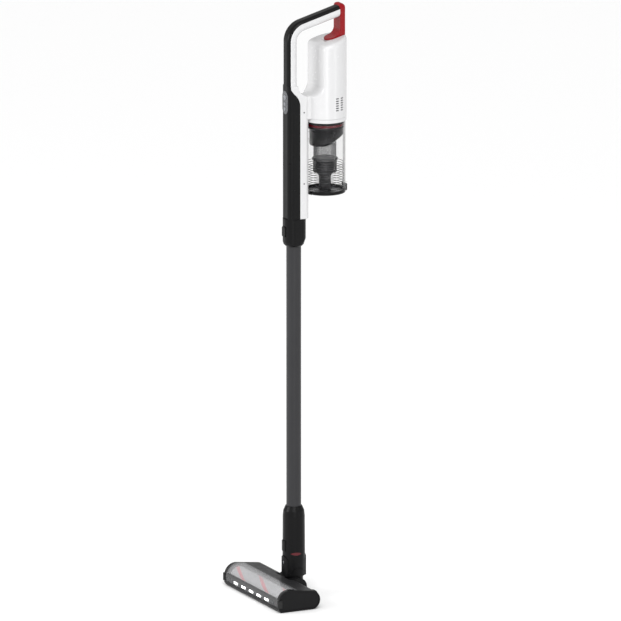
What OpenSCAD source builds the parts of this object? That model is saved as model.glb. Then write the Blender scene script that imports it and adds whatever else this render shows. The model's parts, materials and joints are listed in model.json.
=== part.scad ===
// Cordless stick vacuum: a motor head on a neck that tilts and rolls, a straight pipe, and a hand
// unit with a battery spine, a loop handle, a cyclone dust cup and a round motor housing.
// X runs along the head, Y runs from its front to its back, and Z is up from the floor. The origin
// is on the floor under the middle of the whole vacuum. Inside the modules, Y starts at the pipe's
// axis, which lies wand_shift in front of that middle.

/* [Overall] */
// Height from the floor to the top of the handle
total_h = 1000; // [960:10:1040]
// Distance from the middle of the whole vacuum forward to the pipe's axis
wand_shift = 7.5; // [7:0.1:8]
// Wall thickness of the moulded shells
wall = 2.2; // [1.8:0.1:2.6]
// Radial gap of a part that turns or slides on a pin or in a bore
running_gap = 0.05; // [0.02:0.01:0.1]

/* [Head] */
// Width of the head over its end caps
head_w = 208; // [200:2:220]
// Distance from the pipe's axis forward to the centre of the rounded nose
nose_y = 58; // [57:0.5:59]
// Radius of the rounded nose
nose_r = 20; // [19.5:0.1:20.5]
// Distance from the pipe's axis forward to the centre of the rounded tail
tail_y = 18; // [17.5:0.1:18.5]
// Radius of the rounded tail
tail_r = 16; // [15.5:0.1:16.5]
// Outside radius of the soft roller
roller_r = 16; // [15:0.1:16.2]
// Length of the soft roller
roller_w = 184; // [170:2:186]
// Number of lamps along the front
lamp_count = 5; // [3:1:6]
// Distance between lamps
lamp_pitch = 29; // [24:0.5:30]
// Diameter of the rear wheels
wheel_d = 13; // [12:0.5:14]

/* [Neck and pipe] */
// Height of the tilt axis over the floor
tilt_z = 19; // [18.5:0.1:19.5]
// Radius of the tilt barrel
barrel_r = 15; // [14.5:0.1:15.2]
// Height of the roll axis over the floor
roll_z = 57; // [56:0.5:58]
// Radius of the neck knuckle and of the connector's lower end
neck_r = 18.8; // [18.4:0.1:19.2]
// Height of the connector's top over the floor
connector_top = 152.4; // [148:0.4:156]
// Outside diameter of the pipe
pipe_d = 24.7; // [24:0.1:25.4]
// Wall thickness of the pipe
pipe_wall = 1.2; // [1:0.1:1.5]
// Length of pipe held in the connector and in the upper socket
pipe_grip = 26; // [22:1:28]

/* [Hand unit] */
// Width of the battery spine
spine_w = 30; // [29:0.5:31]
// Width of the handle
handle_w = 25; // [24:0.5:26]
// Depth of the handle, across its path
handle_t = 18; // [17:0.5:18.5]
// Depth of the dark strip on the outside of the handle
strip_t = 4.7; // [4:0.1:5.5]
// Outside radius of the handle's bend
handle_bend = 36; // [34:0.5:38]
// Slope of the handle's upper run
handle_slope = 15; // [13:0.5:17]
// Distance from the pipe's axis back to the axis of the motor and the cup
drum_y = 57.4; // [57.2:0.1:57.6]
// Radius of the motor housing
drum_r = 36; // [35.5:0.1:36.5]
// Outside radius of the dust cup
cup_r = 34; // [33.5:0.1:34]
// Wall thickness of the dust cup
cup_wall = 2; // [1.6:0.1:2.4]

/* [Hidden] */
$fn = 72;

// Head: its heights, its ends and its moving parts
belly_z = 0.8;
roller_z = 17;
roof_z = roller_z + nose_r;
tail_z = 16;
roof_tilt = asin((nose_r - tail_r) / (nose_y - tail_y)) + atan((roller_z - tail_z) / (nose_y - tail_y));
cap_t = 4;
cap_x = head_w / 2 - cap_t;
window_x = cap_x - 5;
window_low_z = 22.8;
lens_z = [9, 16.6];
lens_t = 1.2;
ridge_y = [-47.5, -42];
split_z = 15;
roller_y = nose_y - 0.8;
chamber_r = roller_r + 1.4;
core_r = 10.5;
core_bore_r = 8.5;
motor_r = 7.4;
bearing_r = 4;
lamp_x = -5;
row_turn = 248;
row_start = 95.4;
row_half = 9;
recess_x = 28.2;
recess_y = -21;
cheek_x = [22.7, recess_x];
wheel_y = 19;
wheel_x = [31.4, 38];
axle_r = 2;

// Neck: arms, roll joint and bores
arm_r = 11;
arm_proud = 1.6;
arm_y = 15.6;
saddle_r = neck_r + 1.8;
ball_r = saddle_r - 0.4;
roll_limit = 45;
hinge_r = 4;
pin_r = 3.5;
neck_bore_r = 11.5;
neck_z = 34;

// Pipe: where it starts and ends
pipe_r = pipe_d / 2;
pipe_bore_r = pipe_r - pipe_wall;
pipe_low_z = connector_top - pipe_grip;

// Hand unit: levels from the socket up to the handle
socket_z = total_h - 404;
spine_z = socket_z + 47;
cup_z = spine_z + 45;
drum_z = cup_z + 117;
drum_top_z = drum_z + 144;
collar_t = 6;
bend_z = total_h - 57;
corner_r = 8;
seam_turn_r = 26;
seam_turn_z = spine_z + 192;
cell_d = 21.2;
cell_z = spine_z + 23;
cell_h = 70.2;
panel_z = [spine_z + 178, spine_z + 217];
front_y = -15.5;
seam_y = 5;
back_y = 22.6;
grip_y = [front_y + handle_t, 39.6];
valley_r = (grip_y[1] - grip_y[0]) / 2;
valley_z = spine_z + 225.5;
handle_end_y = 79.6;
bracket_t = 8.9;
inlet_z = [cup_z + 88, cup_z + 100];
lid_hinge_y = drum_y - 32;
lid_hinge_z = cup_z - 4.5;
lid_low_z = cup_z - 5.6;
lid_edge_y = lid_hinge_y + 2.1;
seal_seat_r = 28;

// Height of the housing's sloping top at y
function roof_at(y) = drum_top_z - (drum_y + drum_r - y) * tan(handle_slope);

// Everything below is drawn from the pipe's axis and moved back to the vacuum's own middle
module at_pipe() translate([0, -wand_shift, 0]) children();

// Extrudes an outline drawn in Y and Z along X
module along_x(from, to) {
    translate([from, 0, 0]) rotate([90, 0, 90]) linear_extrude(height = to - from) children();
}

// Extrudes an outline drawn in X and Z along Y
module along_y(from, to) {
    translate([0, to, 0]) rotate([90, 0, 0]) linear_extrude(height = to - from) children();
}

// Extrudes an outline drawn in X and Y upwards
module along_z(from, to) translate([0, 0, from]) linear_extrude(height = to - from) children();

module both_sides() {
    children();
    mirror([1, 0, 0]) children();
}

module block(low, high) translate(low) cube(high - low);

module rounded_rect(low, high, r) {
    translate([low[0] + r, low[1]]) square([high[0] - low[0] - 2 * r, high[1] - low[1]]);
    translate([low[0], low[1] + r]) square([high[0] - low[0], high[1] - low[1] - 2 * r]);
    for (x = [low[0] + r, high[0] - r], y = [low[1] + r, high[1] - r]) translate([x, y]) circle(r = r);
}

module ring(outer, inner, from, to) {
    difference() {
        along_z(from, to) circle(r = outer);
        along_z(from - 1, to + 1) circle(r = inner);
    }
}

// ---- Head ----

// The head's side outline, drawn in by s all round: a round nose, a sloping roof and a round tail
module head_outline(s = 0) {
    nose = nose_r - s;
    tail = tail_r - s;
    intersection() {
        union() {
            translate([-nose_y, roller_z]) circle(r = nose);
            translate([-tail_y, tail_z]) circle(r = tail);
            polygon([
                [-nose_y - nose / 2, roller_z],
                [-nose_y - nose, roller_z],
                [-nose_y - nose, roller_z - 12],
                [-nose_y - nose + 3, belly_z + s],
                [-tail_y, belly_z + s],
                [-tail_y + tail / 2, tail_z],
                [-tail_y + tail * sin(roof_tilt), tail_z + tail * cos(roof_tilt)],
                [-nose_y + nose * sin(roof_tilt), roller_z + nose * cos(roof_tilt)]
            ]);
        }
        translate([-nose_y - nose_r - 1, belly_z + s]) square([nose_r + nose_y + 20, roof_z]);
    }
}

module head_skin(t) {
    difference() {
        head_outline();
        head_outline(t);
    }
}

module below(z) translate([-100, -1]) square([140, z + 1]);

module neck_recess() {
    block([-recess_x, recess_y, belly_z + wall], [recess_x, 20, 60]);
    block([-cheek_x[0], -tail_y, -1], [cheek_x[0], 20, 60]);
}

module head_base() {
    throat = [20, 26];
    color([0.1, 0.1, 0.11]) at_pipe() difference() {
        union() {
            along_x(-cap_x, cap_x) difference() {
                intersection() {
                    union() {
                        head_skin(wall);
                        intersection() {
                            head_outline(wall);
                            translate([-roller_y, roller_z]) difference() {
                                circle(r = chamber_r + wall);
                                translate([-60, -40]) square([60, 80]);
                            }
                        }
                    }
                    union() {
                        below(lens_z[0]);
                        translate([-roller_y + 40, 0]) below(split_z);
                        translate([-roller_y, 0]) square([roller_y + recess_y, roof_z - 3.4]);
                    }
                }
                translate([-nose_y - nose_r - 1, lens_z[0]]) square([nose_r + 1, roof_z]);
                translate([-tail_y, split_z]) square([60, 40]);
                intersection() {
                    head_skin(wall);
                    translate([ridge_y[0], split_z]) square([80, 40]);
                }
            }
            both_sides() along_x(window_x, cap_x) head_outline(wall);
            block(
                [-throat[0] - wall, -roller_y + chamber_r + 1, belly_z],
                [throat[0] + wall, recess_y, throat[1] + wall]
            );
            both_sides() wheel_arm();
        }
        neck_recess();
        along_x(-window_x, window_x) {
            translate([-roller_y, roller_z]) circle(r = chamber_r);
            translate([-nose_y - 12, -1]) square([24, 6]);
        }
        along_x(-cap_x - 1, -window_x + 1) translate([-roller_y, roller_z]) circle(r = core_r);
        along_x(window_x - 1, cap_x + 1) translate([-roller_y, roller_z]) circle(r = bearing_r);
        block([-throat[0], -roller_y, belly_z + wall], [throat[0], 20, throat[1]]);
        for (x = pad_places()) glide_pad(x);
        both_sides() along_x(recess_x - 1, wheel_x[0]) translate([wheel_y, wheel_d / 2]) circle(r = axle_r);
    }
}

module wheel_arm() {
    along_x(recess_x, recess_x + 2.6) {
        translate([wheel_y, wheel_d / 2]) circle(r = 4.4);
        polygon([
            [-tail_y + 4, belly_z + 0.4], [wheel_y, wheel_d / 2 - 4.4],
            [wheel_y, wheel_d / 2 + 4.4], [-tail_y + 12, wheel_d / 2 + 5]
        ]);
    }
}

function pad_places() = [-82, -52, 52, 82];

module glide_pad(x) {
    for (y = [-nose_y - nose_r + 3.6, -nose_y + nose_r + 1])
        translate([x - 9, y, 0]) cube([18, 3.2, belly_z + 0.6]);
}

module glide_pads() color([0.3, 0.3, 0.32]) at_pipe() for (x = pad_places()) glide_pad(x);

module head_top_cover() {
    color([0.2, 0.2, 0.21]) at_pipe() difference() {
        along_x(-cap_x, cap_x) intersection() {
            head_skin(wall);
            translate([ridge_y[1], split_z]) square([60, 40]);
        }
        neck_recess();
    }
}

module ridge_trim() {
    color([0.45, 0.45, 0.46]) at_pipe() along_x(-cap_x, cap_x) intersection() {
        head_skin(wall);
        translate([ridge_y[0], split_z]) square([ridge_y[1] - ridge_y[0], 40]);
    }
}

// The part of the skin that runs from the lamps over the nose to the ridge
module nose_band(low_z) {
    intersection() {
        head_skin(wall);
        translate([-100, low_z]) square([100 + ridge_y[0], 40]);
    }
}

module window_frame() {
    color([0.07, 0.07, 0.08]) at_pipe() {
        along_x(-window_x, window_x) difference() {
            nose_band(lens_z[1]);
            translate([-100, window_low_z]) square([100, 40]);
        }
        both_sides() along_x(window_x, cap_x) nose_band(lens_z[1]);
    }
}

module roller_window() {
    color([0.85, 0.87, 0.88, 0.35]) at_pipe() along_x(-window_x, window_x) nose_band(window_low_z);
}

module lamp_lens() {
    color([0.8, 0.82, 0.84, 0.5]) at_pipe()
        block([-cap_x, -nose_y - nose_r, lens_z[0]], [cap_x, -nose_y - nose_r + lens_t, lens_z[1]]);
}

function lamp_places() = [for (i = [0 : lamp_count - 1]) lamp_x + (i - (lamp_count - 1) / 2) * lamp_pitch];

module lamps() {
    lamp = [13, 0.8, 3.2];
    low = lens_z[0] + 1.3;
    color([1, 1, 0.98]) at_pipe() for (x = lamp_places())
        translate([x - lamp[0] / 2, -nose_y - nose_r + lens_t, low]) cube(lamp);
}

module lamp_board() {
    front = -nose_y - nose_r + lens_t + 0.8;
    color([0.1, 0.3, 0.15]) at_pipe() block([-80, front, lens_z[0] + 0.3], [80, front + 0.8, lens_z[1] - 0.3]);
}

module end_cap() {
    difference() {
        along_x(cap_x, head_w / 2) head_outline();
        along_x(head_w / 2 - 1, head_w / 2 + 1) head_outline(2.2);
        bumper();
        along_x(0, head_w / 2 - 1.6) translate([-roller_y, roller_z]) circle(r = bearing_r);
    }
}

module end_cap_left() color([0.13, 0.13, 0.14]) at_pipe() end_cap();

module end_cap_right() color([0.13, 0.13, 0.14]) at_pipe() mirror([1, 0, 0]) end_cap();

// Soft pad that wraps a front corner of the head
module bumper() {
    along_z(8.5, 21) rounded_rect([cap_x, -nose_y - nose_r - 2], [head_w / 2 + 2, -nose_y - nose_r + 6], 2);
}

module front_bumpers() color([0.08, 0.08, 0.08]) at_pipe() both_sides() bumper();

module head_screws() {
    color([0.6, 0.6, 0.62]) at_pipe() for (x = [-70, -36, 36, 70])
        translate([x, -tail_y - 6, belly_z - 0.2]) cylinder(r = 2.4, h = 0.2);
}

// The roller's motor sits inside the roller, held by the right-hand end cap
module roller_motor() {
    color([0.55, 0.56, 0.58]) at_pipe() {
        along_x(-cap_x, -20) translate([-roller_y, roller_z]) circle(r = motor_r);
        along_x(-cap_x, -roller_w / 2 - 1) translate([-roller_y, roller_z]) circle(r = core_r);
        along_x(-roller_w / 2 + 1, -roller_w / 2 + 6)
            translate([-roller_y, roller_z]) circle(r = core_bore_r - running_gap);
    }
}

module roller_bearing() {
    color([0.7, 0.7, 0.72]) at_pipe() along_x(roller_w / 2 + 1, head_w / 2 - 1.6) difference() {
        translate([-roller_y, roller_z]) circle(r = bearing_r);
        translate([-roller_y, roller_z]) circle(r = axle_r + running_gap);
    }
}

module wheel_axles() {
    color([0.6, 0.6, 0.62]) at_pipe() both_sides() {
        along_x(recess_x, wheel_x[1] + 0.8) translate([wheel_y, wheel_d / 2]) circle(r = axle_r);
        along_x(wheel_x[1] + 0.3, wheel_x[1] + 1.1) translate([wheel_y, wheel_d / 2]) circle(r = axle_r + 1.2);
    }
}

// Side discs with stub pins that carry the tilt barrel
module tilt_cheeks() {
    color([0.14, 0.14, 0.15]) at_pipe() both_sides() {
        along_x(cheek_x[0], cheek_x[1]) intersection() {
            translate([-4, tilt_z]) circle(r = barrel_r - 0.4);
            translate([-40, belly_z + wall]) square([80, 80]);
        }
        along_x(cheek_x[0] - 4.6, cheek_x[0]) translate([-4, tilt_z]) circle(r = hinge_r);
    }
}

// ---- Roller ----

module brush_core() {
    color([0.6, 0.6, 0.62]) at_pipe() {
        along_x(-roller_w / 2, roller_w / 2) translate([-roller_y, roller_z]) difference() {
            circle(r = core_r);
            circle(r = core_bore_r);
        }
        along_x(-19, -14) translate([-roller_y, roller_z]) circle(r = core_bore_r);
        along_x(roller_w / 2 - 6, roller_w / 2) translate([-roller_y, roller_z]) circle(r = core_bore_r);
        along_x(roller_w / 2, head_w / 2 - 2) translate([-roller_y, roller_z]) circle(r = axle_r);
    }
}

module brush_fibre() {
    color([0.72, 0.72, 0.72]) at_pipe() along_x(-roller_w / 2, roller_w / 2)
        translate([-roller_y, roller_z]) difference() {
            circle(r = roller_r - 0.5);
            circle(r = core_r);
        }
}

// Three coloured rows that wind around the roller
module brush_stripes() {
    inner = roller_r - 0.43;
    color([0.85, 0.25, 0.3]) at_pipe() translate([-roller_w / 2, -roller_y, roller_z]) rotate([90, 0, 90])
        for (i = [0 : 2]) rotate(row_start + i * 120)
            linear_extrude(height = roller_w, twist = -row_turn, slices = 48, $fn = 12) polygon(concat(
                [for (a = [-row_half, 0, row_half]) inner * [cos(a), sin(a)]],
                [for (a = [row_half, 0, -row_half]) roller_r * [cos(a), sin(a)]]
            ));
}

module rear_wheel() {
    difference() {
        along_x(wheel_x[0], wheel_x[1]) translate([wheel_y, wheel_d / 2]) circle(r = wheel_d / 2);
        along_x(wheel_x[0] - 1, wheel_x[1] + 1) translate([wheel_y, wheel_d / 2]) circle(r = axle_r + running_gap);
    }
}

module wheel_left() color([0.2, 0.2, 0.2]) at_pipe() rear_wheel();

module wheel_right() color([0.2, 0.2, 0.2]) at_pipe() mirror([1, 0, 0]) rear_wheel();

// ---- Neck ----

module tilt_barrel() {
    half = cheek_x[0] - 0.3;
    color([0.11, 0.11, 0.12]) at_pipe() difference() {
        union() {
            along_x(-half, half) translate([-4, tilt_z]) circle(r = barrel_r);
            along_z(tilt_z, neck_z) circle(r = neck_bore_r + 4);
        }
        along_z(tilt_z, neck_z + 1) circle(r = neck_bore_r);
        along_y(-30, 0) translate([0, tilt_z - 1]) circle(r = 9);
        along_x(cheek_x[0] - 5, 30) translate([-4, tilt_z]) circle(r = hinge_r + running_gap);
        along_x(-30, 5 - cheek_x[0]) translate([-4, tilt_z]) circle(r = hinge_r + running_gap);
    }
}

// Outline of a fork arm, with its round end on the roll axis, grown by g
module arm_outline(g = 0) {
    translate([0, roll_z]) circle(r = arm_r + g);
    translate([-arm_r - g, neck_z]) square([2 * (arm_r + g), roll_z - neck_z]);
}

module neck_knuckle() {
    color([0.1, 0.1, 0.11]) at_pipe() difference() {
        union() {
            along_z(neck_z, roll_z) circle(r = neck_r);
            intersection() {
                along_z(neck_z, roll_z + arm_r) circle(r = neck_r + arm_proud);
                union() {
                    along_y(arm_y, 30) arm_outline();
                    along_y(-30, -arm_y) arm_outline();
                }
            }
        }
        along_y(-arm_y, arm_y) translate([0, roll_z]) circle(r = saddle_r);
        along_z(neck_z - 1, roll_z) circle(r = neck_bore_r);
        along_y(-30, 30) translate([0, roll_z]) circle(r = pin_r);
    }
}

module roll_pins() {
    color([0.6, 0.6, 0.62]) at_pipe() for (side = [-1, 1])
        translate([0, side * (neck_bore_r + neck_r + 0.6) / 2, roll_z]) rotate([90, 0, 0])
            cylinder(r = pin_r, h = neck_r - neck_bore_r - 0.2, center = true);
}

// The space that the two fork arms sweep as the connector rolls
module arm_sweep() {
    for (side = [-1, 1]) along_y(side < 0 ? -30 : arm_y - 0.3, side < 0 ? 0.3 - arm_y : 30) {
        translate([0, roll_z]) circle(r = arm_r + 0.6);
        for (a = [-roll_limit, roll_limit])
            translate([0, roll_z]) rotate(a) translate([-arm_r - 0.4, -40]) square([2 * arm_r + 0.8, 40]);
        translate([0, roll_z]) polygon([[0, 5], [-25, -25], [0, -50], [25, -25]]);
    }
}

module accent_outline() {
    long = 9;
    high = 2.5;
    arc = (long * long + high * high) / (2 * high);
    intersection() {
        translate([0, arc - high]) circle(r = arc);
        translate([0, high - arc]) circle(r = arc);
    }
}

module accents() both_sides() along_x(neck_r - 5.4, 30) translate([-4, roll_z + 16]) accent_outline();

module connector_tube() {
    color([0.09, 0.09, 0.1]) at_pipe() difference() {
        union() {
            intersection() {
                along_z(roll_z - ball_r - 1, roll_z) circle(r = neck_r + 0.1);
                along_y(-30, 30) translate([0, roll_z]) circle(r = ball_r);
            }
            translate([0, 0, roll_z])
                cylinder(r1 = neck_r + 0.1, r2 = neck_r - 0.4, h = connector_top - 16.4 - roll_z);
            translate([0, 0, connector_top - 16.4]) cylinder(r1 = neck_r - 0.4, r2 = neck_r - 1.3, h = 8.4);
            translate([0, 0, connector_top - 8]) cylinder(r1 = neck_r - 1.3, r2 = pipe_r + 1.6, h = 8);
        }
        arm_sweep();
        along_z(roll_z - 40, pipe_low_z) circle(r = neck_bore_r);
        along_z(pipe_low_z, connector_top + 1) circle(r = pipe_r + running_gap);
        along_y(-30, 30) translate([0, roll_z]) circle(r = pin_r + running_gap);
        block([-6.4, -30, roll_z + 18.6], [6.4, -14.7, roll_z + 37.4]);
        accents();
    }
}

module side_accents() {
    color([0.7, 0.05, 0.1]) at_pipe() intersection() {
        accents();
        along_z(roll_z, connector_top) circle(r = neck_r + 0.3, $fn = 240);
    }
}

module head_button() {
    color([0.13, 0.13, 0.14]) at_pipe() intersection() {
        block([-6, -30, roll_z + 19], [6, -16.8, roll_z + 37]);
        along_z(roll_z, connector_top) circle(r = neck_r + 1.4);
    }
}

module wand_pipe() {
    color([0.28, 0.28, 0.3]) at_pipe() ring(pipe_r, pipe_bore_r, pipe_low_z, socket_z + pipe_grip);
}

// ---- Hand unit: socket and spine ----

module socket_outline() translate([0, 1]) rounded_rect([-16, -18.75], [16, 18.75], 14);

module pipe_socket() {
    color([0.09, 0.09, 0.1]) at_pipe() difference() {
        intersection() {
            along_z(socket_z, spine_z) socket_outline();
            translate([0, 0, socket_z]) cylinder(r1 = pipe_r + 1.2, r2 = pipe_r + 51.2, h = 50);
            translate([0, 0, socket_z]) cylinder(r1 = pipe_r + 3.4, r2 = pipe_r + 19.4, h = 50);
        }
        along_z(socket_z - 1, socket_z + pipe_grip) circle(r = pipe_r + running_gap);
        along_z(socket_z, spine_z + 1) circle(r = pipe_bore_r);
        block([-5.9, -30, socket_z + 16.6], [5.9, -14.4, socket_z + 34.4]);
        jack_sleeve();
    }
}

module pipe_button() {
    color([0.12, 0.12, 0.13]) at_pipe() along_y(-19.2, -16.2)
        rounded_rect([-5.5, socket_z + 17], [5.5, socket_z + 34], 3);
}

module jack_sleeve() along_y(12.6, 19.75) translate([0, spine_z - 11]) circle(r = 4.2);

// Socket for a charging plug, in the back of the pipe socket
module charge_jack() {
    color([0.5, 0.5, 0.52]) at_pipe() difference() {
        jack_sleeve();
        along_y(13.75, 30) translate([0, spine_z - 11]) circle(r = 2.8);
    }
}

module spine_outline(s = 0) {
    rounded_rect([s - spine_w / 2, front_y + s], [spine_w / 2 - s, back_y - s], corner_r - s);
}

// Runs a handle section along the handle's path. The section is drawn with its depth from the
// outer face along X and its width along Y.
module along_handle(from_z) {
    translate([0, front_y + handle_bend, bend_z]) rotate([90, 0, 90]) rotate(90 + handle_slope) {
        rotate([90, 0, 0]) linear_extrude(height = 76) translate([handle_bend, 0]) mirror([1, 0]) children();
        rotate_extrude(angle = 90 - handle_slope) translate([handle_bend, 0]) mirror([1, 0]) children();
        rotate(90 - handle_slope) rotate([-90, 0, 0]) linear_extrude(height = bend_z - from_z)
            translate([handle_bend, 0]) mirror([1, 0]) children();
    }
}

module handle_section(s = 0) {
    rounded_rect([s, s - handle_w / 2], [handle_t - s, handle_w / 2 - s], corner_r - s);
}

// The finger gap between the handle and the housing, grown by g
module valley(g = 0) {
    along_x(-60, 60) {
        translate([(grip_y[0] + grip_y[1]) / 2, valley_z]) circle(r = valley_r + g);
        translate([grip_y[0] - g, valley_z]) square([grip_y[1] - grip_y[0] + 2 * g, 400]);
    }
}

// The spine and the handle as one outer shape, drawn in by s
module spine_solid(s = 0) {
    difference() {
        intersection() {
            along_z(spine_z + s, valley_z) spine_outline(s);
            along_y(-60, 60) polygon([
                [s - spine_w / 2, 0], [spine_w / 2 - s, 0],
                [spine_w / 2 - s, valley_z - 32], [handle_w / 2 - s, valley_z],
                [s - handle_w / 2, valley_z], [s - spine_w / 2, valley_z - 32]
            ]);
        }
        valley(s);
    }
}

// Side outline of the white part: behind the seam, and past the seam's round turn behind the strip
module white_region() {
    translate([seam_y, -10]) square([200, 3000]);
    difference() {
        translate([front_y + strip_t, seam_turn_z]) square([200, 3000]);
        translate([seam_y - seam_turn_r, seam_turn_z]) circle(r = seam_turn_r);
        translate([front_y + strip_t, seam_turn_z + 20]) polygon([[-1, 0], [6, 0], [1, 7], [-1, 9.8]]);
    }
}

module battery_cap() {
    color([0.08, 0.08, 0.09]) at_pipe() intersection() {
        shell_solid();
        block([-60, -60, spine_z], [60, seam_y, spine_z + 50]);
    }
}

module shell_solid() {
    difference() {
        spine_solid();
        spine_solid(wall);
        elbow_hole();
    }
}

module elbow_hole() along_z(spine_z - 1, spine_z + wall + 1) circle(r = pipe_bore_r);

module front_shell() {
    color([0.08, 0.08, 0.09]) at_pipe() difference() {
        shell_solid();
        block([-60, -60, spine_z - 1], [60, 60, spine_z + 50]);
        along_x(-60, 60) white_region();
        along_y(-30, -10) panel_outline(0);
    }
}

module rear_shell() {
    color([0.92, 0.92, 0.92]) at_pipe() difference() {
        intersection() {
            shell_solid();
            along_x(-60, 60) white_region();
        }
        block([-9, 10, inlet_z[0]], [9, 30, inlet_z[1]]);
        screws_at(-spine_w / 2 - 1, 1 - spine_w / 2);
    }
}

module handle_strip() {
    color([0.08, 0.08, 0.09]) at_pipe() difference() {
        along_handle(valley_z) intersection() {
            difference() {
                handle_section();
                handle_section(wall);
            }
            translate([-1, -20]) square([strip_t + 1, 40]);
        }
        block([-60, handle_end_y, valley_z], [60, 200, total_h + 100]);
    }
}

module handle_shell() {
    color([0.92, 0.92, 0.92]) at_pipe() difference() {
        along_handle(valley_z) intersection() {
            difference() {
                handle_section();
                handle_section(wall);
            }
            translate([strip_t, -20]) square([40, 40]);
        }
        block([-60, handle_end_y, valley_z], [60, 200, total_h + 100]);
    }
}

// Red piece that ties the end of the handle to the top of the housing
module handle_bracket() {
    half = handle_w / 2 - 0.1;
    cap_r = bracket_t / 2;
    fillet = 14;
    foot_y = 57;
    foot_t = 2.6;
    foot_z = roof_at(handle_end_y) + foot_t;
    fillet_z = foot_z + fillet * (1 - sin(handle_slope)) / cos(handle_slope);
    color([0.62, 0.06, 0.08]) at_pipe() intersection() {
        union() {
            along_x(-half, half) {
                difference() {
                    translate([handle_end_y, drum_top_z - 20]) square([bracket_t, total_h - cap_r - drum_top_z + 20]);
                    under_roof();
                }
                translate([handle_end_y + cap_r, total_h - cap_r]) circle(r = cap_r);
                difference() {
                    polygon([
                        [handle_end_y + 1, foot_z - 1], [handle_end_y + 1, fillet_z],
                        [handle_end_y - fillet, fillet_z],
                        [handle_end_y - fillet * (1 - sin(handle_slope)), fillet_z - fillet * cos(handle_slope) - 0.5]
                    ]);
                    translate([handle_end_y - fillet, fillet_z]) circle(r = fillet);
                }
            }
            intersection() {
                along_x(-half, half) polygon([
                    [foot_y - 1, roof_at(foot_y - 1)], [handle_end_y + 1, roof_at(handle_end_y + 1)],
                    [handle_end_y + 1, roof_at(handle_end_y + 1) + foot_t], [foot_y - 1, roof_at(foot_y - 1) + foot_t]
                ]);
                along_z(drum_z, total_h) {
                    translate([0, foot_y + half]) circle(r = half);
                    translate([-half, foot_y + half]) square([2 * half, 40]);
                }
            }
        }
        along_y(0, 200) rounded_rect([-half, drum_top_z - 40], [half, total_h], corner_r);
    }
}

// ---- Hand unit: housing ----

// Side outline of the space under the housing's sloping top, drawn in by s
module under_roof(s = 0) {
    back = drum_y + drum_r;
    polygon([
        [0, drum_z], [back + 1, drum_z],
        [back + 1, roof_at(back + 1) - s / cos(handle_slope)], [0, roof_at(0) - s / cos(handle_slope)]
    ]);
}

module housing_body(s = 0) {
    intersection() {
        translate([0, drum_y, 0]) along_z(drum_z + collar_t, drum_top_z) circle(r = drum_r - s);
        along_x(-60, 60) under_roof(s);
    }
}

module vent_slots() {
    both_sides() for (a = [9, 25], z = [22 : 4 : 42])
        translate([0, drum_y, drum_z + z]) rotate(a) block([drum_r - 4, -2.7, 0], [drum_r + 4, 2.7, 1.8]);
}

module motor_housing() {
    color([0.93, 0.93, 0.93]) at_pipe() difference() {
        union() {
            difference() {
                housing_body();
                translate([0, 0, -0.01]) valley();
            }
            block(
                [-spine_w / 2, back_y - 5, drum_z + collar_t],
                [spine_w / 2, back_y + 9, valley_z - valley_r - 1]
            );
        }
        difference() {
            translate([0, 0, -0.02]) housing_body(wall);
            valley(wall);
            block([-60, 0, 0], [60, back_y + 4, 3000]);
        }
        along_z(0, 3000) spine_outline();
        vent_slots();
    }
}

// Ring between the housing and the cup, with an inner flange over the cup's rim
module housing_collar() {
    color([0.9, 0.9, 0.9]) at_pipe() difference() {
        translate([0, drum_y, 0]) {
            ring(drum_r - 0.3, cup_r + 0.3, drum_z, drum_z + collar_t - 1.6);
            ring(drum_r - 0.3, 24, drum_z + collar_t - 1.6, drum_z + collar_t);
        }
        block([-60, 0, 0], [60, back_y, 3000]);
    }
}

module pre_filter() {
    color([0.85, 0.85, 0.8]) at_pipe() translate([0, drum_y, 0])
        ring(26, 8, drum_z + collar_t, drum_z + collar_t + 9);
}

module fan_shroud() {
    low = drum_z + 18;
    color([0.35, 0.35, 0.37]) at_pipe() translate([0, drum_y, 0]) {
        ring(24, 9, low, low + 1.5);
        ring(24, 22.4, low + 1.5, low + 13);
        ring(23, 8, low + 11.5, low + 13);
        for (a = [45 : 90 : 315]) rotate(a) block([23.4, -1.5, low + 2], [drum_r - wall - 0.1, 1.5, low + 11]);
    }
}

module motor_can() {
    low = drum_z + 31;
    color([0.6, 0.6, 0.62]) at_pipe() translate([0, drum_y, 0]) {
        ring(15, 2 + running_gap, low, low + 34);
        along_z(low + 34, low + 37) circle(r = 6);
    }
}

// The fan and its shaft, which turn inside the shroud
module fan_wheel() {
    low = drum_z + 20.5;
    color([0.75, 0.75, 0.78]) at_pipe() translate([0, drum_y, 0]) {
        along_z(low, low + 1.4) circle(r = 21);
        along_z(low, low + 7) circle(r = 6);
        along_z(low + 1, drum_z + 31 + 30) circle(r = 2);
        for (i = [0 : 8]) rotate(i * 40) block([5, -0.6, low + 1.3], [20, 0.6, low + 6.5]);
    }
}

module exhaust_filter() {
    color([0.8, 0.8, 0.76]) at_pipe() intersection() {
        translate([0, drum_y, 0]) ring(drum_r - wall - 0.5, 9, drum_top_z - 48, drum_top_z - 20);
        block([-60, grip_y[1] + wall + 0.4, 0], [60, 200, 3000]);
    }
}

// ---- Hand unit: battery, board, controls and duct ----

module battery_cells() {
    axis_y = front_y + wall + 0.3 + cell_d / 2;
    color([0.3, 0.5, 0.7]) at_pipe() for (i = [0, 1])
        translate([0, axis_y, cell_z + i * (cell_h + 0.8)]) cylinder(d = cell_d, h = cell_h);
}

module battery_tray() {
    for (z = [cell_z - 1.6, cell_z + 2 * cell_h + 1.2]) color([0.2, 0.2, 0.22]) at_pipe()
        translate([-8.5, front_y + wall + 0.3, z]) cube([17, cell_d - 0.4, 1.4]);
}

module control_board() {
    color([0.08, 0.32, 0.16]) at_pipe() block([-10, -10, spine_z + 171], [10, -8.4, spine_z + 214]);
}

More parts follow.
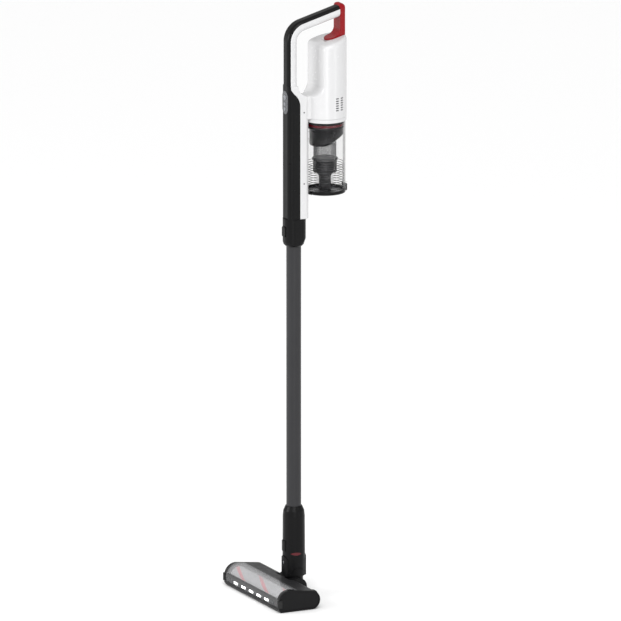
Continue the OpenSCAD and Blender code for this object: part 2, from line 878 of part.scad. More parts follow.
module panel_outline(s) {
    half = 9.5 - s;
    translate([0, panel_z[0] + 9.5]) circle(r = half);
    translate([0, panel_z[1] - 9.5]) circle(r = half);
    translate([-half, panel_z[0] + 9.5]) square([2 * half, panel_z[1] - panel_z[0] - 19]);
}

// Each button's height over the spine's foot, and its radius
power_at = [spine_z + 206, 4.4];
mode_at = [spine_z + 195, 3];
menu_at = [spine_z + 186.5, 3];

module control_panel() {
    color([0.45, 0.46, 0.48]) at_pipe() difference() {
        along_y(front_y - 0.6, front_y + 2.2) panel_outline(0);
        for (b = [power_at, mode_at, menu_at]) along_y(-40, 0) translate([0, b[0]]) circle(r = b[1] + 0.25);
    }
}

module button(at) {
    along_y(front_y - 1.3, front_y + 1.9) translate([0, at[0]]) circle(r = at[1]);
    along_y(front_y + 1.9, front_y + 4.2) translate([0, at[0]]) circle(r = 1.4);
}

module power_button() color([0.8, 0.8, 0.82]) at_pipe() button(power_at);

module mode_button() color([0.3, 0.3, 0.32]) at_pipe() button(mode_at);

module menu_button() color([0.3, 0.3, 0.32]) at_pipe() button(menu_at);

// Carries dusty air from the pipe up the back of the spine to the cup's inlet
module suction_duct() {
    skin = 1.2;
    low = spine_z + wall;
    back = back_y - wall;
    color([0.25, 0.25, 0.27]) at_pipe() difference() {
        intersection() {
            along_z(low, inlet_z[1] + skin) spine_outline(wall);
            union() {
                block([-12, -12.4, low], [12, back, cell_z - 2]);
                block([-10, back - 11.6, low], [10, back, inlet_z[1] + skin]);
            }
        }
        block([skin - 12, skin - 12.4, low + skin], [12 - skin, back - skin, cell_z - 2 - skin]);
        block([skin - 10, back - 11.6 + skin, low + skin], [10 - skin, back - skin, inlet_z[1]]);
        along_z(low - 1, low + skin + 1) circle(r = pipe_bore_r);
        block([-9, back - 5, inlet_z[0]], [9, back + 1, inlet_z[1]]);
    }
}

module screws_at(from, to) {
    for (z = [spine_z + 14, spine_z + 90, spine_z + 166]) along_x(from, to) translate([13, z]) circle(r = 2.4);
}

module body_screws() color([0.6, 0.6, 0.62]) at_pipe() screws_at(0.4 - spine_w / 2, 1 - spine_w / 2);

// ---- Dust cup ----

module dust_cup() {
    color([0.85, 0.88, 0.9, 0.35]) at_pipe() difference() {
        union() {
            translate([0, drum_y, 0]) ring(cup_r, cup_r - cup_wall, cup_z, drum_z + 3.6);
            both_sides() intersection() {
                along_x(8.1, 16) {
                    translate([lid_hinge_y, lid_hinge_z]) circle(r = 2);
                    translate([drum_y - cup_r, lid_hinge_z])
                        square([lid_edge_y - 0.3 - drum_y + cup_r, cup_z - lid_hinge_z]);
                }
                translate([0, drum_y, 0]) along_z(0, cup_z) circle(r = cup_r);
            }
            both_sides()
                block([7.3, drum_y + cup_r - 2.4, cup_z + 0.4], [9.3, drum_y + cup_r + 2.6, cup_z + 9]);
        }
        block([-9, 20, inlet_z[0]], [9, drum_y - cup_r + 8, inlet_z[1]]);
        along_x(-30, 30) translate([lid_hinge_y, lid_hinge_z]) circle(r = 1.2 + running_gap);
        translate([0, drum_y, 0]) along_z(cup_z, cup_z + 20) circle(r = cup_r - cup_wall);
    }
}

// Upper part of the cyclone: foot flange, shell with its inlet and scroll, and top plate
module cyclone_top() {
    low = cup_z + 76;
    high = cup_z + 105;
    color([0.22, 0.22, 0.23]) at_pipe() difference() {
        union() {
            translate([0, drum_y, 0]) {
                along_z(low, low + 6) circle(r = 26.5);
                along_z(low + 1, high + 1) circle(r = 24);
                along_z(high, high + 3.2) circle(r = cup_r - cup_wall - 0.2);
                along_z(high + 1, high + 9) circle(r = seal_seat_r);
                along_z(high + 7.2, high + 9) circle(r = cup_r - cup_wall - 0.2);
                translate([0, 0, high - 13]) rotate(-40)
                    rotate_extrude(angle = 130) translate([22.5, 0]) square([7.5, 14]);
            }
            intersection() {
                translate([0, drum_y, 0])
                    along_z(inlet_z[0] - 1.2, high + 1) circle(r = cup_r - cup_wall - 0.2);
                block([-10, drum_y - cup_r, inlet_z[0] - 2], [10, drum_y - 15, high + 2]);
            }
        }
        translate([0, drum_y, 0]) {
            along_z(low - 1, high + 4) circle(r = 18);
            along_z(high + 3.2, high + 10) circle(r = seal_seat_r - 2);
            along_z(low + 6, high) circle(r = 21.5);
        }
        block([-8.8, 0, inlet_z[0]], [8.8, drum_y, inlet_z[1]]);
    }
}

// Middle and lower part of the cyclone: mesh screen, fins, cone and down tube
module cyclone_core() {
    color([0.6, 0.6, 0.6]) at_pipe() translate([0, drum_y, 0]) {
        ring(19, 17.6, cup_z + 49, cup_z + 76);
        ring(21.5, 16, cup_z + 47, cup_z + 52);
        for (i = [0 : 4]) ring(i % 2 == 0 ? 19 : 17.5, 14, cup_z + 30 + i * 3.4, cup_z + 30 + (i + 1) * 3.4);
        difference() {
            translate([0, 0, cup_z + 22]) cylinder(r1 = 10, r2 = 16.5, h = 8);
            translate([0, 0, cup_z + 21]) cylinder(r1 = 7.5, r2 = 15, h = 9.2);
        }
        ring(10, 8, lid_low_z + 1.6, cup_z + 22);
    }
}

module seal_ring() {
    color([0.75, 0.05, 0.08]) at_pipe() translate([0, drum_y, 0])
        ring(cup_r - cup_wall - 0.2, seal_seat_r, cup_z + 108.2, cup_z + 112.2);
}

module cup_lid() {
    color([0.08, 0.08, 0.09]) at_pipe() {
        difference() {
            translate([0, drum_y, 0]) union() {
                along_z(lid_low_z, cup_z - 0.3) circle(r = cup_r);
                ring(27, 25.5, lid_low_z - 0.9, lid_low_z);
                ring(18, 16.5, lid_low_z - 0.9, lid_low_z);
            }
            block([-60, 0, 0], [60, lid_edge_y, 3000]);
            translate([0, drum_y, 0]) along_z(lid_low_z + 1.2, cup_z) circle(r = cup_r - 3);
        }
        along_x(-7.8, 7.8) {
            translate([lid_hinge_y, lid_hinge_z]) circle(r = 2);
            translate([lid_hinge_y, lid_hinge_z - 1.1]) square([5, 3]);
        }
        along_x(-15.5, 15.5) translate([lid_hinge_y, lid_hinge_z]) circle(r = 1.2);
    }
}

module lid_latch() {
    low = cup_z - 6.5;
    color([0.1, 0.1, 0.11]) at_pipe() along_x(-7, 7) translate([drum_y + cup_r + 0.4, 0]) {
        translate([0, low + 1.5]) square([3.2, 9]);
        translate([0, low]) square([1.7, 12]);
        translate([1.7, low + 1.5]) circle(r = 1.5);
        translate([1.7, low + 10.5]) circle(r = 1.5);
    }
}

// ---- Drawing ----

head_base();
head_top_cover();
window_frame();
ridge_trim();
roller_window();
lamp_lens();
lamp_board();
lamps();
front_bumpers();
end_cap_left();
end_cap_right();
glide_pads();
head_screws();
roller_motor();
roller_bearing();
wheel_axles();
tilt_cheeks();
brush_core();
brush_fibre();
brush_stripes();
wheel_left();
wheel_right();
tilt_barrel();
neck_knuckle();
roll_pins();
connector_tube();
side_accents();
head_button();
wand_pipe();
pipe_socket();
pipe_button();
battery_cap();
front_shell();
rear_shell();
handle_strip();
handle_shell();
handle_bracket();
motor_housing();
housing_collar();
pre_filter();
fan_shroud();
motor_can();
exhaust_filter();
fan_wheel();
lid_latch();
battery_cells();
battery_tray();
control_board();
control_panel();
power_button();
mode_button();
menu_button();
charge_jack();
suction_duct();
body_screws();
dust_cup();
cyclone_top();
cyclone_core();
seal_ring();
cup_lid();
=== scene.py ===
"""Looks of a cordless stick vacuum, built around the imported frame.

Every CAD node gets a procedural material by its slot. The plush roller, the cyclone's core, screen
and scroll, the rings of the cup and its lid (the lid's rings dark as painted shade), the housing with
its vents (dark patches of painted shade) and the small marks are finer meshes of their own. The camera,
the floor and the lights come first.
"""

import json
import math

import bmesh
import bpy
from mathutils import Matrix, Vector


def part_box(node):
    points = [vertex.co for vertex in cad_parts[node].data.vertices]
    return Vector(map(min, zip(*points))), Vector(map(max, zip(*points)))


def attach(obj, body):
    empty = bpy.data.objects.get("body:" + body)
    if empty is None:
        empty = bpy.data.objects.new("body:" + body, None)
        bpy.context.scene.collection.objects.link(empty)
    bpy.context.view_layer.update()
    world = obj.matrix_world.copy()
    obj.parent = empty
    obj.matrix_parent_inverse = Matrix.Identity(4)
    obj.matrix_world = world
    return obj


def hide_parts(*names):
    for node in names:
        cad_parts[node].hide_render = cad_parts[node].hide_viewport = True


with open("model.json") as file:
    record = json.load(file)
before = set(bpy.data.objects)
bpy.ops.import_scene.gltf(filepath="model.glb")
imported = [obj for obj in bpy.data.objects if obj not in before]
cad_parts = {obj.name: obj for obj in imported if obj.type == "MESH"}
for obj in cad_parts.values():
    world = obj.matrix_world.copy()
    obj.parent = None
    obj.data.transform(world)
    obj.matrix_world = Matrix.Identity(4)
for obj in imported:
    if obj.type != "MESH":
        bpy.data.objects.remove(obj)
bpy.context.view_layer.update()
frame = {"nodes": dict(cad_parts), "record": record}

MM = 0.001
PIPE_Y = -0.0075
DRUM_Y = PIPE_Y + 57.4 * MM
DRUM_R = 36 * MM
CUP_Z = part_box("dust_cup")[0][2] + 6.5 * MM
CUP_TOP_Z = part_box("housing_collar")[0][2]
ROOF_Z = 949 * MM
ROOF_SLOPE = math.tan(math.radians(15))

# ---- Camera, floor and lights ----

AZIMUTH = math.radians(63.9)
ELEVATION = math.radians(14.0)
CAMERA_DISTANCE = 30.0
FRAME_SPAN = 1.028


def add_camera():
    right = Vector((math.cos(AZIMUTH), math.sin(AZIMUTH), 0))
    back = Vector((
        math.sin(AZIMUTH) * math.cos(ELEVATION),
        -math.cos(AZIMUTH) * math.cos(ELEVATION),
        math.sin(ELEVATION),
    ))
    up = back.cross(right)
    target = Vector((0, PIPE_Y, 0)) + right * 0.0278 + up * 0.4707 + back * 0.11
    data = bpy.data.cameras.new("camera")
    camera = bpy.data.objects.new("camera", data)
    bpy.context.collection.objects.link(camera)
    data.sensor_width = 36
    data.lens = data.sensor_width * CAMERA_DISTANCE / FRAME_SPAN
    data.clip_start, data.clip_end = 0.1, 200
    camera.location = target + back * CAMERA_DISTANCE
    camera.rotation_mode = "QUATERNION"
    camera.rotation_quaternion = (-back).to_track_quat("-Z", "Y")
    bpy.context.scene.camera = camera


def add_area(name, place, aim, size, power, colour=(1, 1, 1)):
    data = bpy.data.lights.new(name, "AREA")
    data.shape = "RECTANGLE"
    data.size, data.size_y = size
    data.energy = power
    data.color = colour
    lamp = bpy.data.objects.new(name, data)
    bpy.context.collection.objects.link(lamp)
    lamp.location = place
    lamp.rotation_mode = "QUATERNION"
    lamp.rotation_quaternion = (Vector(aim) - Vector(place)).to_track_quat("-Z", "Y")


def add_sun(aim_from, power, spread):
    """A wide, even light, so the whole floor is as bright as it is under the vacuum."""
    data = bpy.data.lights.new("sky_panel", "SUN")
    data.energy = power
    data.angle = math.radians(spread)
    sun = bpy.data.objects.new("sky_panel", data)
    bpy.context.collection.objects.link(sun)
    sun.rotation_mode = "QUATERNION"
    sun.rotation_quaternion = (-Vector(aim_from)).to_track_quat("-Z", "Y")


def add_world(strength):
    world = bpy.data.worlds.new("studio")
    world.use_nodes = True
    background = world.node_tree.nodes["Background"]
    background.inputs["Color"].default_value = (1, 1, 1, 1)
    background.inputs["Strength"].default_value = strength
    bpy.context.scene.world = world


def add_floor(half):
    mesh = bpy.data.meshes.new("floor")
    corners = [(-half, -half, 0), (half, -half, 0), (half, half, 0), (-half, half, 0)]
    mesh.from_pydata(corners, [], [(0, 1, 2, 3)])
    floor = bpy.data.objects.new("floor", mesh)
    bpy.context.collection.objects.link(floor)
    floor.location.z = -0.0003
    material = bpy.data.materials.new("floor_paper")
    material.use_nodes = True
    shader = material.node_tree.nodes["Principled BSDF"]
    shader.inputs["Base Color"].default_value = (0.93, 0.93, 0.93, 1)
    shader.inputs["Roughness"].default_value = 0.6
    shader.inputs["Specular IOR Level"].default_value = 0.2
    mesh.materials.append(material)


add_camera()
bpy.context.scene.view_settings.view_transform = "Standard"
add_world(0.62)
add_floor(60)
add_sun((1.9, -0.9, 2.8), 1.75, 42)
add_area("key_strip", (2.9, -0.72, 1.1), (0, 0, 0.6), (0.45, 2.4), 17)
add_area("side_strip", (2.4, 1.5, 0.9), (0, 0, 0.6), (0.3, 2.2), 7)
add_area("front_fill", (-0.5, -2.5, 1.3), (0, 0, 0.85), (1.4, 1.0), 30)

# ---- Materials ----

materials = {}

class Shader:
    """A material, kept by its name, whose nodes are added one line at a time. Lengths are metres."""

    def __init__(self, name):
        material = bpy.data.materials.new(name)
        material.use_nodes = True
        materials[name] = material
        self.nodes = material.node_tree.nodes
        self.links = material.node_tree.links
        self.main = self.nodes["Principled BSDF"]
        self.place = self.add("ShaderNodeTexCoord").outputs["Object"]

    def add(self, kind, **settings):
        node = self.nodes.new(kind)
        for key, value in settings.items():
            setattr(node, key, value)
        return node

    def link(self, source, target):
        self.links.new(source, target)

    def noise(self, size, detail=3.0, roughness=0.5, stretch=None):
        """Noise whose blobs are about size metres across."""
        node = self.add("ShaderNodeTexNoise")
        node.inputs["Scale"].default_value = 1 / size
        node.inputs["Detail"].default_value = detail
        node.inputs["Roughness"].default_value = roughness
        if stretch:
            scaled = self.add("ShaderNodeMapping")
            scaled.inputs["Scale"].default_value = stretch
            self.link(self.place, scaled.inputs["Vector"])
            self.link(scaled.outputs["Vector"], node.inputs["Vector"])
        else:
            self.link(self.place, node.inputs["Vector"])
        return node.outputs["Fac"]

    def spread(self, source, low, high, start=0.3, end=0.7):
        """Maps source from start..end to low..high."""
        node = self.add("ShaderNodeMapRange")
        node.inputs["From Min"].default_value = start
        node.inputs["From Max"].default_value = end
        node.inputs["To Min"].default_value = low
        node.inputs["To Max"].default_value = high
        self.link(source, node.inputs["Value"])
        return node.outputs["Result"]

    def blend(self, factor, first, second):
        """Colour between first and second. Each is a colour or a socket."""
        node = self.add("ShaderNodeMix", data_type="RGBA")
        self.link(factor, node.inputs["Factor"])
        for value, key in ((first, "A"), (second, "B")):
            socket = [s for s in node.inputs if s.name == key and s.type == "RGBA"][0]
            if isinstance(value, tuple):
                socket.default_value = (*value, 1)
            else:
                self.link(value, socket)
        return [s for s in node.outputs if s.type == "RGBA"][0]

    def bump(self, source, depth, under=None):
        node = self.add("ShaderNodeBump")
        node.inputs["Strength"].default_value = 1
        node.inputs["Distance"].default_value = depth
        self.link(source, node.inputs["Height"])
        if under:
            self.link(under, node.inputs["Normal"])
        return node.outputs["Normal"]

    def soft_edges(self, radius):
        node = self.add("ShaderNodeBevel")
        node.samples = 4
        node.inputs["Radius"].default_value = radius
        return node.outputs["Normal"]


def lighter(colour, factor):
    return tuple(min(1, c * factor) for c in colour)


def moulded(
    name, colour, roughness, grain=0.35 * MM, depth=0.004 * MM, mottle=0.06, coat=0.0, edge=0.35 * MM,
    specular=0.5,
):
    """Moulded plastic: fine grain, slow colour drift, handling marks in the gloss and soft edges."""
    shader = Shader(name)
    drift = shader.noise(30 * MM, 4)
    tone = shader.blend(
        shader.spread(drift, 0, 1), lighter(colour, 1 - mottle), lighter(colour, 1 + mottle)
    )
    shader.link(tone, shader.main.inputs["Base Color"])
    smear = shader.noise(9 * MM, 5, 0.6)
    gloss = shader.spread(smear, max(0.03, roughness * 0.82), roughness * 1.18)
    shader.link(gloss, shader.main.inputs["Roughness"])
    normal = shader.soft_edges(edge) if edge else None
    normal = shader.bump(shader.noise(grain, 2), depth, normal)
    shader.link(normal, shader.main.inputs["Normal"])
    shader.main.inputs["Specular IOR Level"].default_value = specular
    if coat:
        shader.main.inputs["Coat Weight"].default_value = coat
        shader.main.inputs["Coat Roughness"].default_value = 0.06


def metal(name, colour, roughness, brushed=None, depth=0.003 * MM):
    """Metal with brushed or rolled streaks. brushed stretches the streaks along an axis."""
    shader = Shader(name)
    streaks = shader.noise(0.6 * MM, 4, 0.6, brushed or (1, 1, 1))
    tone = shader.blend(shader.spread(streaks, 0, 1), lighter(colour, 0.86), lighter(colour, 1.1))
    shader.link(tone, shader.main.inputs["Base Color"])
    shader.link(shader.spread(streaks, roughness * 0.8, roughness * 1.2), shader.main.inputs["Roughness"])
    shader.link(shader.bump(streaks, depth, shader.soft_edges(0.2 * MM)), shader.main.inputs["Normal"])
    shader.main.inputs["Metallic"].default_value = 1.0


def clear(name, tint, through, rim, roughness=0.08, haze=6 * MM, start=0.25, end=0.98):
    """Clear plastic: light passes through it face on, and its rims and edges read denser."""
    shader = Shader(name)
    facing = shader.add("ShaderNodeLayerWeight")
    facing.inputs["Blend"].default_value = 0.3
    dense = shader.spread(facing.outputs["Facing"], through, rim, start, end)
    shader.link(dense, shader.main.inputs["Alpha"])
    drift = shader.noise(haze, 3)
    tone = shader.blend(shader.spread(drift, 0, 1), lighter(tint, 0.92), lighter(tint, 1.08))
    shader.link(tone, shader.main.inputs["Base Color"])
    shader.link(shader.spread(drift, roughness * 0.7, roughness * 1.4), shader.main.inputs["Roughness"])
    shader.link(shader.bump(shader.noise(12 * MM, 2), 0.02 * MM), shader.main.inputs["Normal"])
    shader.main.inputs["Coat Weight"].default_value = 0.3


def glowing(name, colour, strength):
    """A lamp: glowing, a little dimmer in places by a fine grain."""
    shader = Shader(name)
    grain = shader.noise(2 * MM, 2)
    tone = shader.blend(shader.spread(grain, 0, 1), lighter(colour, 0.94), colour)
    shader.link(tone, shader.main.inputs["Base Color"])
    shader.link(tone, shader.main.inputs["Emission Color"])
    shader.main.inputs["Emission Strength"].default_value = strength
    shader.main.inputs["Roughness"].default_value = 0.3


def plush(name, colour, depth=0.12 * MM):
    """Short dense pile: matte, sheeny and finely broken up."""
    shader = Shader(name)
    tuft = shader.noise(0.9 * MM, 4, 0.7)
    tone = shader.blend(shader.spread(tuft, 0, 1), lighter(colour, 0.72), lighter(colour, 1.12))
    shader.link(tone, shader.main.inputs["Base Color"])
    shader.main.inputs["Roughness"].default_value = 0.95
    shader.main.inputs["Sheen Weight"].default_value = 0.4
    shader.link(shader.bump(tuft, depth), shader.main.inputs["Normal"])


def build_materials():
    """Every material that the record names, and then the looks that only this script uses."""
    moulded("black_shell", (0.0055, 0.0055, 0.0058), 0.32, depth=0.005 * MM, specular=0.11)
    moulded("head_black", (0.007, 0.007, 0.0075), 0.4, depth=0.008 * MM, specular=0.13)
    moulded("head_cover", (0.016, 0.016, 0.017), 0.46, 0.8 * MM, 0.09 * MM, specular=0.25)
    moulded("trim_black", (0.006, 0.006, 0.007), 0.14, coat=0.4, specular=0.3)
    # Frame strip between window and rear cover: its own satin dark grey, lightened as a painted highlight.
    moulded("ridge_grey", (0.1, 0.1, 0.105), 0.28)
    clear("clear_window", (0.5, 0.5, 0.51), 0.2, 0.75)
    clear("clear_lens", (0.05, 0.05, 0.055), 0.45, 0.9, 0.12)
    clear("clear_cup", (0.03, 0.03, 0.033), 0.04, 0.95, 0.04, start=0.4, end=0.78)
    moulded("board_green", (0.01, 0.03, 0.018), 0.4)
    glowing("lamp_white", (1.0, 1.0, 1.0), 12.0)
    moulded("bumper_rubber", (0.012, 0.012, 0.012), 0.6, 0.5 * MM, 0.02 * MM, specular=0.3)
    plush("pad_grey", (0.12, 0.12, 0.12))
    metal("steel", (0.5, 0.5, 0.51), 0.3)
    metal("core_alu", (0.5, 0.5, 0.52), 0.35, (40, 1, 1))
    metal("motor_metal", (0.35, 0.35, 0.37), 0.35)
    moulded("cell_sleeve", (0.03, 0.1, 0.3), 0.3)
    plush("plush_grey", (0.42, 0.42, 0.43))
    plush("plush_red", (0.64, 0.13, 0.15))
    moulded("wheel_rubber", (0.012, 0.012, 0.012), 0.65, 0.4 * MM, 0.02 * MM, specular=0.3)
    moulded("pipe_grey", (0.022, 0.022, 0.024), 0.38, 0.5 * MM, 0.004 * MM, specular=0.3)
    moulded("accent_red", (0.24, 0.005, 0.008), 0.3, edge=0.6 * MM, specular=0.16)
    moulded(
        "white_shell", (0.6, 0.6, 0.605), 0.24, depth=0.002 * MM, mottle=0.012, coat=0.15,
        edge=0.5 * MM,
    )
    plush("filter_foam", (0.6, 0.6, 0.56))
    moulded("inner_plastic", (0.03, 0.03, 0.033), 0.45)
    moulded("fan_plastic", (0.3, 0.3, 0.32), 0.4)
    moulded("panel_grey", (0.06, 0.062, 0.068), 0.28, coat=0.3)
    moulded("button_grey", (0.2, 0.205, 0.22), 0.3)
    moulded("cyclone_grey", (0.014, 0.014, 0.015), 0.3, specular=0.3)
    moulded("mesh_metal", (0.22, 0.22, 0.225), 0.35)
    moulded("lens_red", (0.085, 0.0015, 0.006), 0.12, coat=0.2, edge=None, specular=0.3)
    moulded("cyclone_light", (0.035, 0.035, 0.037), 0.24)
    moulded("cup_floor", (0.62, 0.62, 0.625), 0.22)
    clear("cup_ridge", (0.04, 0.04, 0.043), 0.55, 0.9)


def dress_frame():
    for part in frame["record"]["subparts"]:
        node = frame["nodes"][part["node"]]
        node.data.materials.clear()
        node.data.materials.append(materials[part["material_slot"]])


build_materials()
dress_frame()

# ---- Finer pieces ----


def new_piece(name, points, faces, slot, body, smooth=True, look=None):
    mesh = bpy.data.meshes.new(name)
    mesh.from_pydata([tuple(p) for p in points], [], faces)
    mesh.validate()
    tidy = bmesh.new()
    tidy.from_mesh(mesh)
    bmesh.ops.recalc_face_normals(tidy, faces=tidy.faces)
    tidy.to_mesh(mesh)
    tidy.free()
    for face in mesh.polygons:
        face.use_smooth = smooth
    piece = bpy.data.objects.new(name, mesh)
    bpy.context.collection.objects.link(piece)
    mesh.materials.append(materials[look or slot])
    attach(piece, body)
    return piece


def grid_faces(rows, columns, closed_rows=False, closed_columns=True):
    """Quads of a grid, which can close on itself round its rows, its columns or both."""
    faces = []
    for i in range(rows if closed_rows else rows - 1):
        for j in range(columns if closed_columns else columns - 1):
            k, m = (i + 1) % rows, (j + 1) % columns
            faces.append((i * columns + j, i * columns + m, k * columns + m, k * columns + j))
    return faces


def turned(name, profile_at, slot, body, segments=96, look=None, arc=None):
    """Turns the closed profile that profile_at gives for each angle round the drum's axis.

    A profile is a list of (radius, height). With an arc (first, last) it is turned only that far.
    """
    first, last = arc or (0, 2 * math.pi)
    angles = [first + (last - first) * j / segments for j in range(segments + 1 if arc else segments)]
    profiles = [profile_at(a) for a in angles]
    rows, columns = len(profiles[0]), len(angles)
    points = []
    for i in range(rows):
        for a, profile in zip(angles, profiles):
            radius, height = profile[i]
            points.append((radius * math.cos(a), DRUM_Y + radius * math.sin(a), height))
    faces = grid_faces(rows, columns, closed_rows=True, closed_columns=not arc)
    if arc:
        faces += [tuple(i * columns for i in range(rows)), tuple((i + 1) * columns - 1 for i in range(rows))]
    return new_piece(name, points, faces, slot, body, look=look)


def lathe(name, profile, slot, body, segments=96, look=None):
    return turned(name, lambda angle: profile, slot, body, segments, look)


ROLLER_Y = PIPE_Y - 57.2 * MM
ROLLER_Z = 17 * MM
ROLLER_HALF = 92 * MM
PILE_R = 15.95 * MM
PILE_BORE_R = 10.6 * MM
STRIPE_RATE = math.radians(1.35) / MM
STRIPE_START = math.radians(95.4)
STRIPE_HALF = math.radians(11)
STRIPE_PITCH = 2 * math.pi / 3


def tuft_height(i, j):
    """A repeatable uneven pile, from sines that don't share a period."""
    wave = math.sin(i * 1.9 + j * 2.7) + math.sin(i * 0.73 - j * 1.31) + math.sin(i * 3.1 + j * 0.37)
    return wave / 3


def roller_point(x, radius, angle):
    return (x, ROLLER_Y + radius * math.cos(angle), ROLLER_Z + radius * math.sin(angle))


def add_roller():
    """The plush roller, with three coloured rows that wind round it."""
    rings, around = 184, 120
    points = []
    for i in range(rings + 1):
        x = -ROLLER_HALF + 2 * ROLLER_HALF * i / rings
        rounded = min(1, (min(i, rings - i) + 0.5) / 2.5)
        for j in range(around):
            radius = PILE_R - 1.2 * MM * (1 - rounded) - 0.28 * MM * (1 + tuft_height(i, j)) / 2
            points.append(roller_point(x, radius, 2 * math.pi * j / around))
    faces = grid_faces(rings + 1, around)
    for end in (0, rings):
        start = len(points)
        x = points[end * around][0]
        for j in range(around):
            m = (j + 1) % around
            points.append(roller_point(x, PILE_BORE_R, 2 * math.pi * j / around))
            faces.append((end * around + j, end * around + m, start + m, start + j))
    first, last = (rings + 1) * around, (rings + 2) * around
    for j in range(around):
        m = (j + 1) % around
        faces.append((first + j, first + m, last + m, last + j))
    roller = new_piece("roller_plush", points, faces, "plush_grey", "roller")
    roller.data.materials.append(materials["plush_red"])
    for face in roller.data.polygons:
        middle = face.center
        angle = math.atan2(middle.z - ROLLER_Z, middle.y - ROLLER_Y)
        turn = STRIPE_START + STRIPE_RATE * (middle.x + ROLLER_HALF)
        off = (angle - turn) % STRIPE_PITCH
        if min(off, STRIPE_PITCH - off) < STRIPE_HALF:
            face.material_index = 1
    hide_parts("brush_fibre", "brush_stripes")


def above(base, profile):
    """A profile given in millimetres as (radius, height above base), in metres."""
    return [(radius * MM, base + height * MM) for radius, height in profile]


def add_cyclone():
    """The cyclone's core: a finned cone over a down tube, a collar and a perforated screen."""
    fins = []
    for i in range(5):
        low = 28.4 + i * 3.8
        fins += [(16, low), (20.2, low + 0.5), (20.2, low + 1.4), (16, low + 1.9)]
    tube = [(10, -3.8), (10, 20), (11, 23), (15.5, 28)]
    collar = [(17.2, 47.4), (20.6, 47.9), (21.5, 49), (21.5, 51), (20.6, 52), (18.6, 52.2)]
    bore = [(16, 52.2), (14, 46), (14, 30), (8, 22), (8, -3.8)]
    core = lathe(
        "cyclone_cone", above(CUP_Z, tube + fins + collar + bore), "cyclone_grey", "cup", look="cyclone_light"
    )
    perforated("cyclone_screen", 19 * MM, CUP_Z + 52 * MM, CUP_Z + 78 * MM, 48, 13)
    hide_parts("cyclone_core")


def perforated(name, radius, low, high, columns, rows):
    """A thin cylinder with a slot in every cell."""
    points = []
    for i in range(rows + 1):
        for j in range(columns):
            a = 2 * math.pi * (j + 0.5 * (i % 2)) / columns
            level = low + (high - low) * i / rows
            points.append((radius * math.cos(a), DRUM_Y + radius * math.sin(a), level))
    screen = new_piece(name, points, grid_faces(rows + 1, columns), "mesh_metal", "cup")
    cells = bmesh.new()
    cells.from_mesh(screen.data)
    inner = bmesh.ops.inset_individual(cells, faces=cells.faces[:], thickness=0.34 * MM)
    framed = set(inner["faces"])
    bmesh.ops.delete(cells, geom=[f for f in cells.faces if f not in framed], context="FACES")
    cells.to_mesh(screen.data)
    cells.free()
    wall = screen.modifiers.new("wall", "SOLIDIFY")
    wall.thickness = 0.6 * MM
    wall.offset = -1


SCROLL_ANGLE = math.radians(63.9)


def scroll_profile(angle):
    """The cyclone's head: wide and short on the outlet side, narrower and deeper opposite."""
    side = (1 + math.cos(angle - SCROLL_ANGLE)) / 2
    wide = 25.8 + 4.6 * side
    low = 75.5 + 12 * side ** 3
    rim, bore = 31.6, 17.8
    top = (CUP_TOP_Z - CUP_Z) / MM - 1.2
    foot = 19.4 + (wide - 20.4) * (1 - side) ** 0.5
    drum = [(bore, low - 1), (foot, low - 1), (wide - 0.6, low + 5 * side), (wide, low + 0.6 + 5 * side)]
    flange = [(wide, 104), (rim - 0.4, 104.6), (rim, 105.2), (rim, 107.8)]
    seal_groove = [(28.2, 107.9), (28.2, 112.4), (rim, 112.5)]
    inside = [(rim, top), (24, top), (24, 100), (bore, 98)]
    return above(CUP_Z, drum + flange + seal_groove + inside)


def add_cup_details():
    """The cyclone's head scroll, the cup wall's rings and the lid's floor, whose rings are painted shade."""
    scroll = turned("cyclone_scroll", scroll_profile, "cyclone_grey", "cup")
    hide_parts("cyclone_top")
    rib = [(31.95, -0.5), (31.2, -0.2), (31.2, 0.2), (31.95, 0.5)]
    for i in range(11):
        level = CUP_Z + (2.5 + 4.1 * i) * MM
        lathe(f"cup_rib_{i}", above(level, rib), "clear_cup", "cup", look="cup_ridge")
    floor = CUP_Z - 4.3 * MM
    disc = [(11.5, 0), (11.5, 0.25), (30.6, 0.25), (30.6, 0)]
    lathe("lid_floor", above(floor, disc), "black_shell", "lid", look="cup_floor")
    # The lid's rings take the dark inner plastic: painted shade for the shadow lines between them.
    for i in range(5):
        r = 14 + 3.6 * i
        ridge = [(r, 0.3), (r + 0.2, 1.0), (r + 0.5, 1.0), (r + 0.7, 0.3)]
        lathe(f"lid_ridge_shade_{i}", above(floor, ridge), "black_shell", "lid", look="inner_plastic")


def smooth_least(a, b, blend):
    """The smaller of a and b, rounded over where they are within blend of each other."""
    near = max(blend - abs(a - b), 0) / blend
    return min(a, b) - near * near * blend / 4


def housing_radius(angle, height):
    """Radius of the housing: round, with a soft-edged flat face to the fingers and a foot on the spine."""
    front = -math.sin(angle)
    radius = DRUM_R
    bottom, full = 850 * MM, 868.5 * MM
    if height < bottom and front > 0:
        half = min(14.8 * MM, 14.8 * MM - (height - 836.5 * MM) * 0.078)
        foot = min(half / max(abs(math.cos(angle)), 1e-6), 39.6 * MM / front)
        radius = max(radius, foot)
    if height >= bottom and front > 0:
        drop = max(full - height, 0)
        face = 57.4 * MM - 21.05 * MM - math.sqrt(max((18.55 * MM) ** 2 - drop ** 2, 0))
        radius = smooth_least(radius, face / front, 7 * MM)
    return radius


def roof_height(angle, radius):
    return ROOF_Z - (DRUM_R - radius * math.sin(angle)) * ROOF_SLOPE


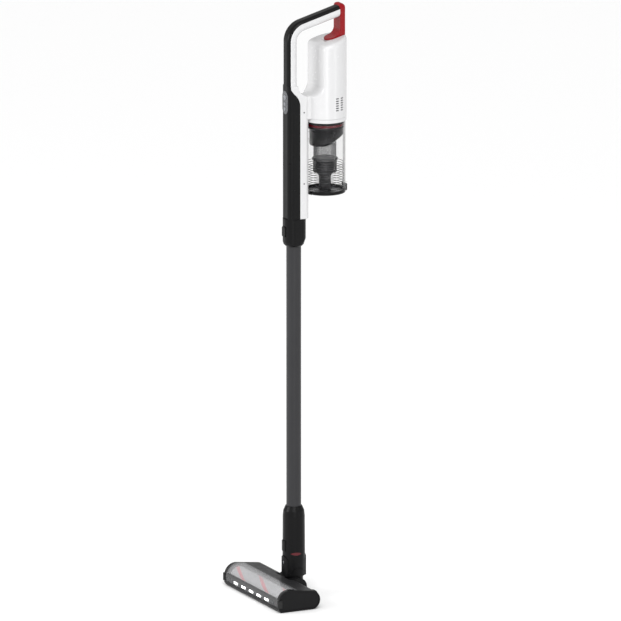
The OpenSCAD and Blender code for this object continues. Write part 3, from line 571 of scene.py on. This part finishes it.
def housing_profile(angle):
    edge = 7 * MM
    low = CUP_TOP_Z + 6 * MM
    top_radius = housing_radius(angle, ROOF_Z)
    shoulder = roof_height(angle, top_radius) - edge
    profile = [(8 * MM, low)]
    for i in range(71):
        height = low + (shoulder - low) * i / 70
        profile.append((housing_radius(angle, height), height))
    for i in range(1, 9):
        turn = math.radians(90 * i / 8)
        radius = top_radius - edge * (1 - math.cos(turn))
        profile.append((radius, roof_height(angle, radius) - edge * (1 - math.sin(turn))))
    for share in (0.7, 0.4, 0.1):
        radius = (top_radius - edge) * share
        profile.append((radius, roof_height(angle, radius)))
    return profile + [(1 * MM, low + 20 * MM)]


def add_housing():
    """The white drum over the motor, with two columns of painted shade for vent slots on each side."""
    housing = turned("housing_shell", housing_profile, "white_shell", "hand_unit", 180)
    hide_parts("motor_housing")
    for side in (0, 1):
        for column in (9, 25):
            degrees = column if side == 0 else 180 - column
            for row in range(6):
                add_vent_shade(f"vent_{side}_{column}_{row}", degrees, CUP_TOP_Z + (20 + 4 * row) * MM)


def add_vent_shade(name, degrees, low):
    """A dark patch on the housing's side: painted shade where a vent slot would be."""
    middle, half = math.radians(degrees), 2.7 * MM / DRUM_R
    outer, inner = DRUM_R + 0.05 * MM, DRUM_R - 1 * MM
    profile = [(inner, low), (outer, low), (outer, low + 1.8 * MM), (inner, low + 1.8 * MM)]
    turned(name, lambda angle: profile, "inner_plastic", "hand_unit", 6, arc=(middle - half, middle + half))


def add_disc(name, centre, side, radius=1.3 * MM, thick=0.4 * MM, count=24):
    """A thin round plug on a face that looks along X."""
    points = []
    for x in (centre[0] - side * thick, centre[0]):
        for j in range(count):
            a = 2 * math.pi * j / count
            points.append((x, centre[1] + radius * math.cos(a), centre[2] + radius * math.sin(a)))
    faces = [(j, (j + 1) % count, count + (j + 1) % count, count + j) for j in range(count)]
    faces += [tuple(range(count)), tuple(range(count, 2 * count))]
    new_piece(name, points, faces, "panel_grey", "hand_unit", smooth=False)


def add_marks():
    """Two small round plugs on each side of the white spine."""
    for i, height in enumerate((0.8235, 0.7025)):
        for side in (-1, 1):
            add_disc(f"mark_{i}_{side + 1}", (side * 15.08 * MM, PIPE_Y + 12 * MM, height), side)


add_roller()
add_cyclone()
add_cup_details()
add_housing()
add_marks()
for node in ("side_accents", "seal_ring"):
    frame["nodes"][node].data.materials[0] = materials["lens_red"]
